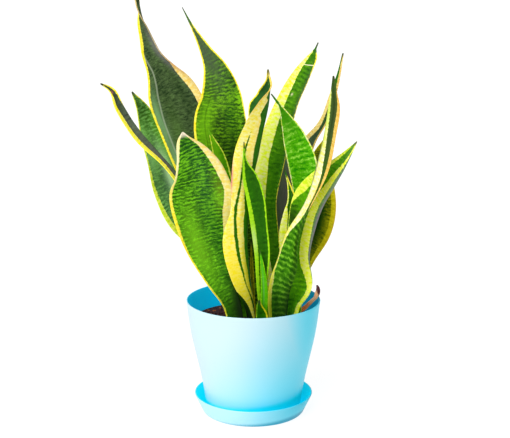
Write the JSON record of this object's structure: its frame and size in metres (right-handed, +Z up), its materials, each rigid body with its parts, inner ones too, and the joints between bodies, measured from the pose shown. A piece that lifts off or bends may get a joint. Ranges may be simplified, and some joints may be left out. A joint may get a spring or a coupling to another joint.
{
  "type": "potted snake plant",
  "caption": "Variegated snake plant with upright sword-shaped leaves, rooted in soil in a tapered round plastic pot that stands in a shallow saucer.",
  "frame": {"origin": "middle of the saucer's flat underside, on the pot's axis", "axes": "+Z up along the pot's axis, -Y towards the front of the plant, +X to its right"},
  "size_m": [0.307, 0.1784, 0.5462],
  "materials": {
    "pot_plastic": "satin moulded polypropylene, pale sky blue",
    "saucer_plastic": "satin moulded polypropylene, brighter cyan blue",
    "potting_soil": "moist crumbly peat and bark",
    "leaf_variegated": "waxy green with darker cross bands and yellow margins",
    "dry_leaf": "dry papery brown"
  },
  "bodies": {
    "root": {"saucer": "saucer_plastic", "pot": "pot_plastic", "soil": "potting_soil", "leaf_tall_left": "leaf_variegated", "leaf_tall_middle": "leaf_variegated", "leaf_front_left": "leaf_variegated", "leaf_far_left": "leaf_variegated", "leaf_back_left": "leaf_variegated", "leaf_small_left": "leaf_variegated", "leaf_folded": "leaf_variegated", "leaf_tall_right": "leaf_variegated", "leaf_middle": "leaf_variegated", "leaf_front_right": "leaf_variegated", "leaf_broad_right": "leaf_variegated", "leaf_back_bulging": "leaf_variegated", "leaf_back_right": "leaf_variegated", "leaf_small_middle": "leaf_variegated", "leaf_dark_middle": "leaf_variegated", "leaf_young_strip": "leaf_variegated", "leaf_base_sheath": "leaf_variegated", "leaf_young_olive": "leaf_variegated", "dry_leaf": "dry_leaf"}
  },
  "joints": []
}
